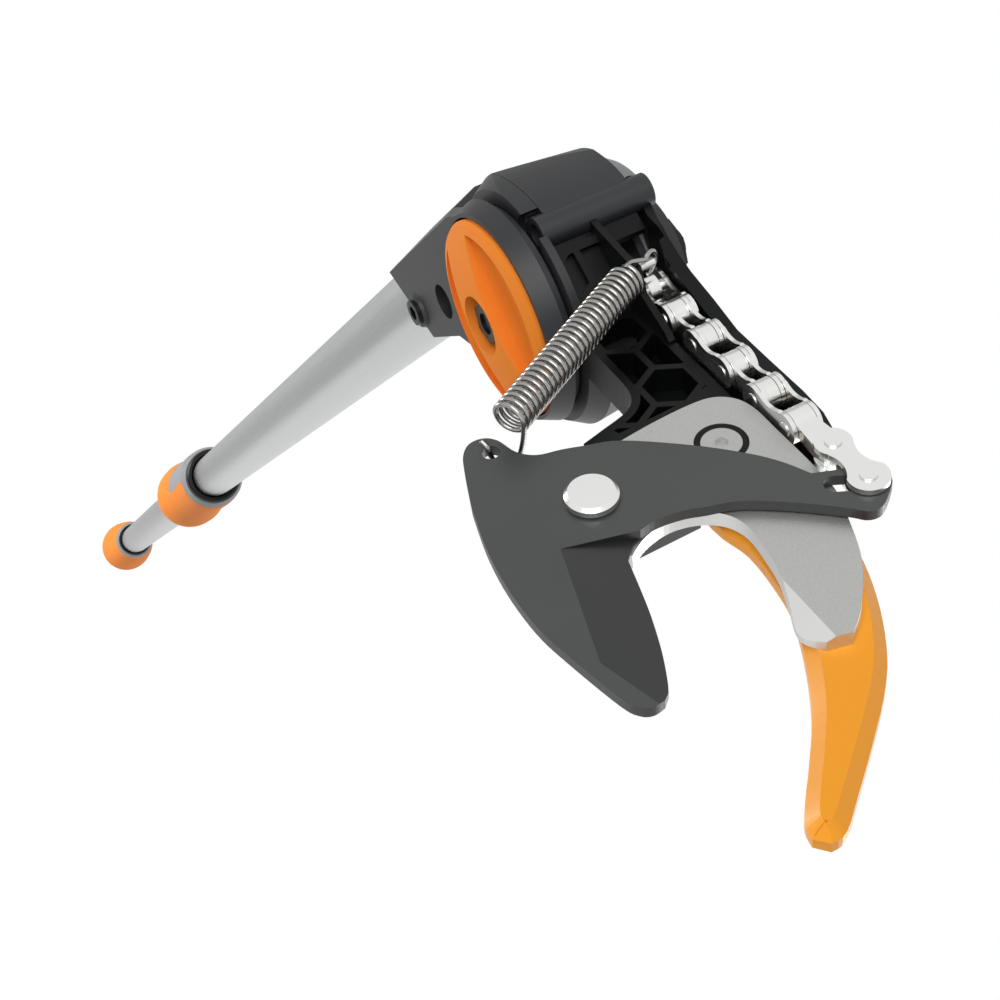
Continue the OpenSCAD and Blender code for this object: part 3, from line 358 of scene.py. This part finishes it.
# %% Path of the wire
WIRE_RADIUS = 0.65
WIRE_SIDES = 8
COIL_LOW = Vector((50.4, -25.6, 61.7))
COIL_HIGH = Vector((2.2, -25, 33.6))
COIL_RADIUS = 4.05
CURLS = 29
CURL_STEPS = 24
LUG = Vector((56.2, 0, 62.6))
HOOK_STEPS = [(1, -21.8, -2.2), (0.4, -20.8, -0.6), (0, -18, 0), (-0.8, -15.4, 0.6), (-3.2, -14.6, 1.6),
              (-6, -16, 1.6), (-7.4, -20, 1.8)]
CROSSING = Vector((-0.6, -28, 31.6))
LOOP_MIDDLE = Vector((-6.6, -24, 30))
LOOP_RADIUS = 3.1
LOOP_FRONT = Vector((0, -1, 0))
LOOP_SIDE = Vector((-0.87, 0, -0.48))
LOOP_FROM = -40
LOOP_STEP = 16
LOOP_POINTS = 17
along = (COIL_HIGH - COIL_LOW).normalized()
across = Vector((along.z, 0, -along.x)).normalized()
forward = across.cross(along)


def coil_point(turns):
    angle = math.tau * turns
    middle = COIL_LOW.lerp(COIL_HIGH, turns / CURLS)
    return middle + COIL_RADIUS * (math.cos(angle) * across + math.sin(angle) * forward)


def smooth(points, steps=6):
    """Points on a curve that passes through all the given ones."""
    path = []
    for i in range(len(points) - 1):
        a, b = points[max(i - 1, 0)], points[i]
        c, d = points[i + 1], points[min(i + 2, len(points) - 1)]
        for k in range(steps):
            t = k / steps
            path.append(b + t * (c - a) / 2 + t * t * (a - 2.5 * b + 2 * c - d / 2)
                        + t ** 3 * (1.5 * (b - c) + (d - a) / 2))
    return path


def loop_point(k):
    t = math.radians(LOOP_FROM + LOOP_STEP * k)
    return LOOP_MIDDLE + LOOP_RADIUS * (math.cos(t) * LOOP_FRONT + math.sin(t) * LOOP_SIDE)


hook_wire = smooth([LUG + Vector(step) for step in HOOK_STEPS] + [coil_point(0)])
coil_end = CURLS * CURL_STEPS + CURL_STEPS // 4
coil_wire = [coil_point(k / CURL_STEPS) for k in range(coil_end + 1)]
loop_wire = [loop_point(k) for k in range(LOOP_POINTS)]
crossing_wire = smooth([coil_wire[-1], CROSSING, loop_wire[0]])
wire = hook_wire + coil_wire[:-1] + crossing_wire + loop_wire
print("wire of", round(sum((b - a).length for a, b in zip(wire, wire[1:]))), "mm")

# %% [markdown]
# The sweep puts a small ring of points round each point of the path. Each ring takes its side direction from the
# ring before it, so the skin doesn't twist where the wire turns.


def sweep(name, path, section, side, to_frame):
    """A skin along a path. Each corner of the section is a distance along the side and one across it."""
    points, faces = [], []
    sides = len(section)
    for i, middle in enumerate(path):
        ahead = (path[min(i + 1, len(path) - 1)] - path[max(i - 1, 0)]).normalized()
        side = (side - side.dot(ahead) * ahead).normalized()
        other = ahead.cross(side)
        points += [to_frame(*(middle + a * side + b * other)) for a, b in section]
    for i in range(len(path) - 1):
        for k in range(sides):
            a, b = i * sides + k, i * sides + (k + 1) % sides
            faces.append((a, b, b + sides, a + sides))
    last = (len(path) - 1) * sides
    faces.append(tuple(reversed(range(sides))))
    faces.append(tuple(last + k for k in range(sides)))
    mesh = bpy.data.meshes.new(name)
    mesh.from_pydata(points, [], faces)
    mesh.shade_smooth()
    made = bpy.data.objects.new(name, mesh)
    scene.collection.objects.link(made)
    return made


corners = [math.tau * k / WIRE_SIDES for k in range(WIRE_SIDES)]
round_section = [(WIRE_RADIUS * math.cos(t), WIRE_RADIUS * math.sin(t)) for t in corners]
spring = sweep("spring_wire", wire, round_section, Vector((0, 1, 0)), on_head)
spring.data.materials.append(wire_steel)
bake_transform(spring)
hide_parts("return_spring")
print("spring of", CURLS, "curls")

# %% [markdown]
# ## Pull strap
# The strap is black polyester webbing with round edges, swept along two runs. The straight run lies inside the
# pole and stretches between the drum and the handle's carriage. The other run lies on the drum and turns with
# it. The weave is matt, and a wave along the pole makes its cross ribs, drawn twice as wide as real ones so that
# they show.

# %% Webbing
RIB_SCALE = 132.7  # one rib in 2.4 mm
webbing, tree, shader, place = start("polyester_webbing", "#161618", 0.85)
sockets = {"Vector": place, "Scale": RIB_SCALE, "Distortion": 0.4}
weave = add(tree, "ShaderNodeTexWave", sockets, bands_direction="Z")
relief(tree, shader, weave.outputs["Fac"], 0.4, 0.0003)
print("webbing ready")

# %% Strap
STRAP_X = 2.8
STRAP_WIDTH = 8
STRAP_THICK = 1.2
STRAP_CORNERS = 12
CARRIAGE_END = Vector((STRAP_X, 0, 810))
DRUM_START = Vector((STRAP_X, 0, 1552))
STRAIGHT_STEPS = 30
DRUM_RADIUS = TILT.y  # the strap leaves the drum on the pole's axis
DRUM_FROM = 176
DRUM_TO = -30
DRUM_STEPS = 40


def in_metres(x, y, z):
    return Vector((x, y, z)) / MM


def strap_corner(k):
    edge = STRAP_THICK / 2
    t = math.tau * (k + 0.5) / STRAP_CORNERS
    return math.copysign(STRAP_WIDTH / 2 - edge, math.cos(t)) + edge * math.cos(t), edge * math.sin(t)


def drum_point(k):
    t = math.radians(DRUM_FROM + (DRUM_TO - DRUM_FROM) * k / DRUM_STEPS)
    return Vector((STRAP_X, TILT.y + DRUM_RADIUS * math.cos(t), TILT.z + DRUM_RADIUS * math.sin(t)))


flat_section = [strap_corner(k) for k in range(STRAP_CORNERS)]
straight = [CARRIAGE_END.lerp(DRUM_START, k / STRAIGHT_STEPS) for k in range(STRAIGHT_STEPS + 1)]
on_drum = [drum_point(k) for k in range(DRUM_STEPS + 1)]
pull_run = sweep("strap_straight_run", straight, flat_section, Vector((1, 0, 0)), in_metres)
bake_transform(pull_run)
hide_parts("pull_strap")
drum_run = sweep("strap_on_drum", on_drum, flat_section, Vector((1, 0, 0)), in_metres)
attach(drum_run, "drum")
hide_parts("strap_winding")
for run in (pull_run, drum_run):
    run.data.materials.append(webbing)
print("strap of", round((DRUM_START - CARRIAGE_END).length), "mm and its turn on the drum")

# %% [markdown]
# ## Soft edges
# No moulded or stamped edge is quite sharp: a mould is rounded by hand and a stamping is tumbled. A bevel
# modifier breaks the edges by a few tenths of a millimetre, so each of them catches a line of light, and the
# mesh from the frame stays as it is.

# %% Break the edges
SHARPER_THAN = math.radians(35)
EDGE = {0.5: ("pole_bracket", "drum_housing", "near_shell", "clamp_knob", "head_frame", "channel_wall"),
        0.3: ("counter_blade", "hook", "housing_cap", "handle_ring", "end_knob_ring"),
        0.2: ("cutting_blade", "rear_plate", "end_link", "bracket_screw", "tilt_bolt", "counter_bolt")}
for width, names in EDGE.items():
    for name in names:
        soft = nodes[name].modifiers.new("soft_edge", "BEVEL")
        soft.width = width / MM
        soft.segments = 2
        soft.limit_method = "ANGLE"
        soft.angle_limit = SHARPER_THAN
        soft.harden_normals = True
print("edges broken on", sum(len(names) for names in EDGE.values()), "pieces")

# %% [markdown]
# ## Floor, light and backdrop
# The tool is shown on plain white. The floor is under the pole's foot, far below the head, and broad lamps give
# the soft light of a studio. What the camera sees beyond the tool is white, and so is nearly all that metal
# mirrors, while the light that the surroundings shed on the tool is weaker, so that colours come out as they are
# written. The pole mirrors the floor round its foot. In mirror images the floor glows dim on one side of the
# foot and white on the other, a painted reflection that shades the tube from edge to edge.

# %% Surroundings
WHITE = (1, 1, 1, 1)
SHED_LIGHT = 0.32  # share of white that the surroundings shed on the tool


def seen_share(tree):
    """One where a ray comes from the camera, a mirror or clear glass, nought for scattered light."""
    ray = add(tree, "ShaderNodeLightPath")
    direct = add(tree, "ShaderNodeMath", {0: ray.outputs["Is Camera Ray"], 1: ray.outputs["Is Glossy Ray"]},
                 operation="MAXIMUM")
    return add(tree, "ShaderNodeMath", {0: direct.outputs[0], 1: ray.outputs["Is Transmission Ray"]},
               operation="MAXIMUM").outputs[0]


world = bpy.data.worlds.new("studio")
scene.world = world
world.use_nodes = True
tree = world.node_tree
glow = add(tree, "ShaderNodeMapRange", {"Value": seen_share(tree), "To Min": SHED_LIGHT, "To Max": 1.0})
sky = tree.nodes["Background"]
sky.inputs["Color"].default_value = WHITE
tree.links.new(glow.outputs[0], sky.inputs["Strength"])

# %% Floor
FLOOR_SIZE = 12
FLOOR_GAP = 0.002
ACROSS_POLE = (-0.28, 0.96, 0)
DIM_SIDE = (-0.1, 0.62)  # metres beside the foot, and how bright the floor is there
LIT_SIDE = (0.12, 1.02)
bpy.ops.mesh.primitive_plane_add(size=FLOOR_SIZE, location=(0, 0, -FLOOR_GAP))
floor = bpy.context.object
floor.name = "floor"
paper, tree, shader, place = start("white_paper", "#f4f4f4", 0.9)
# painted reflection: in mirror images the floor glows dimmer on one side of the foot and brighter on the other
beside = add(tree, "ShaderNodeVectorMath", {0: place, 1: ACROSS_POLE}, operation="DOT_PRODUCT")
painted_reflection_fade = add(tree, "ShaderNodeMapRange", {"Value": beside.outputs["Value"],
                                        "From Min": DIM_SIDE[0], "To Min": DIM_SIDE[1],
                                        "From Max": LIT_SIDE[0], "To Max": LIT_SIDE[1]})
seen = add(tree, "ShaderNodeLightPath").outputs["Is Camera Ray"]
bright = add(tree, "ShaderNodeMix", {"Factor": seen, "A": painted_reflection_fade.outputs[0], "B": 1.0})
white = add(tree, "ShaderNodeEmission", {"Color": WHITE, "Strength": bright.outputs[0]})
both = add(tree, "ShaderNodeMixShader", {0: seen_share(tree), 1: shader.outputs[0], 2: white.outputs[0]})
tree.links.new(both.outputs[0], tree.nodes["Material Output"].inputs["Surface"])
floor.data.materials.append(paper)


# %% Lamps
def lamp(name, place, target, size, watts):
    light = bpy.data.lights.new(name, "AREA")
    light.size = size
    light.energy = watts
    made = bpy.data.objects.new(name, light)
    scene.collection.objects.link(made)
    made.location = place
    made.rotation_euler = (Vector(place) - Vector(target)).to_track_quat("Z", "Y").to_euler()


head_middle = (0, 0.1, 1.62)
lamp("overhead", (0.5, -0.6, 3.4), head_middle, 1.6, 27)
lamp("left_side", (0.8, 0.45, 1.95), head_middle, 0.5, 0.7)
lamp("beside_the_grips", (0.9, -0.9, 0.5), (0, 0, 0.25), 0.8, 17)
lamp("low_behind", (-0.9, 1.0, 0.9), (0, 0, 0.9), 0.8, 7)
print("lit")
